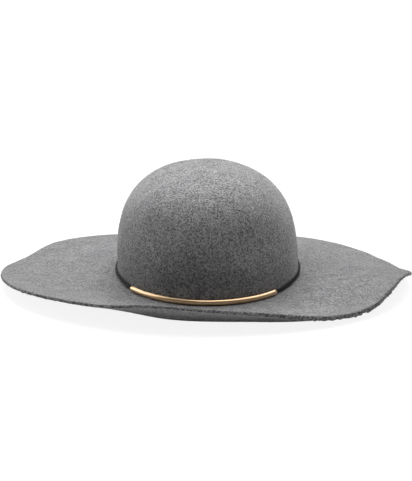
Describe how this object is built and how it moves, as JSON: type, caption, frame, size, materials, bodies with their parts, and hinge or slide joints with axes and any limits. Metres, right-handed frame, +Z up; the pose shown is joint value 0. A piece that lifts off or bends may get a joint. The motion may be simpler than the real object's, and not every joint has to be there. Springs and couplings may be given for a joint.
{
  "type": "felt sun hat",
  "caption": "Round-crowned wool felt sun hat with a wide wavy brim, a flat lace round the crown and a curved brass tube threaded on it in front.",
  "frame": {"origin": "middle of the hat's footprint on the floor", "axes": "+Z up, front of the hat towards -Y, +X to the right as seen from the front, the floor at z = 0"},
  "size_m": [0.389, 0.416, 0.1152],
  "materials": {
    "grey_felt": "heathered grey wool felt, matt and slightly hairy, with a raw cut edge",
    "black_leather": "black leather lace, matt",
    "brass": "pale brass, satin polished"
  },
  "bodies": {
    "root": {"felt_body": "grey_felt", "cord_band": "black_leather", "bar_tube": "brass"}
  },
  "joints": []
}
